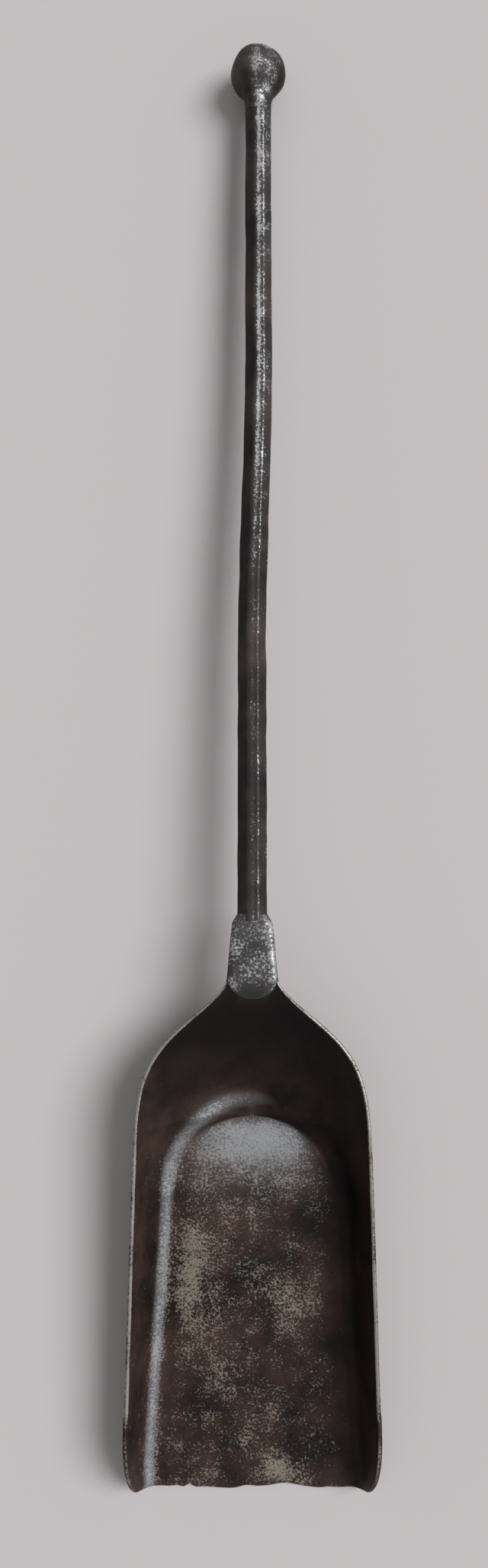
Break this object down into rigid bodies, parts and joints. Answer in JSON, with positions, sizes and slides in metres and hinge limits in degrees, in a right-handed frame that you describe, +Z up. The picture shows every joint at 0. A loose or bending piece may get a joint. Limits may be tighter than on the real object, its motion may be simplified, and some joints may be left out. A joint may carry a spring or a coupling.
{
  "type": "iron hearth shovel",
  "caption": "Forged iron hearth shovel: a raised-side pan with a sloping back wall, a flattened neck, an octagonal bar handle and a ball knob.",
  "frame": {"origin": "on the surface the shovel lies on, below the middle of its bounding box", "axes": "+Z up, +Y along the shovel from the pan's mouth to the knob, +X to the right looking down into the pan with the knob away from the viewer"},
  "size_m": [0.1232, 0.732, 0.0395],
  "materials": {
    "pan_iron": "dark brown-black waxed patina with worn grey speckle",
    "neck_iron": "hammered, worn grey speckle",
    "bar_iron": "dark waxed patina, worn bright along the flats and arrises",
    "knob_iron": "hammered, hand-polished on its high spots"
  },
  "bodies": {
    "root": {"blade": "pan_iron", "neck": "neck_iron", "handle_bar": "bar_iron", "ball_knob": "knob_iron"}
  },
  "joints": []
}
